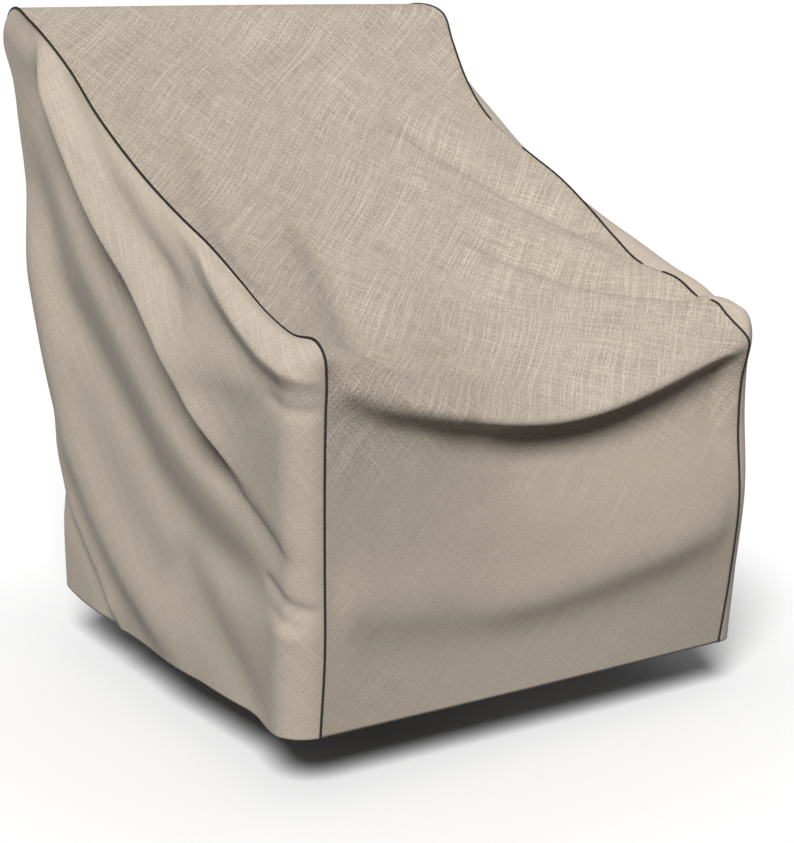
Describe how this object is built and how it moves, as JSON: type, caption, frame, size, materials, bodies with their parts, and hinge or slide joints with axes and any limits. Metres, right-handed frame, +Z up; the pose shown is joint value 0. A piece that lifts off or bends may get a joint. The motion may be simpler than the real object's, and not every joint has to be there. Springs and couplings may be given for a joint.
{
  "type": "patio chair cover",
  "caption": "Fitted cloth cover that hangs over an outdoor lounge chair, with a long centre panel and two side panels joined by dark piping.",
  "frame": {"origin": "under the top ridge of the cover, in the middle of its width, where the chair back carries it", "axes": "+X to the right seen from the front, +Y from the front skirt to the back, +Z up"},
  "size_m": [0.7439, 0.8953, 0.8597],
  "materials": {
    "cloth": "matt slubbed linen-look weave, cut on the bias, greige",
    "piping": "near-black brown corded piping, slight sheen"
  },
  "bodies": {
    "root": {"centre_panel": "cloth", "side_panel_left": "cloth", "side_panel_right": "cloth", "piping_left": "piping", "piping_right": "piping"}
  },
  "joints": []
}
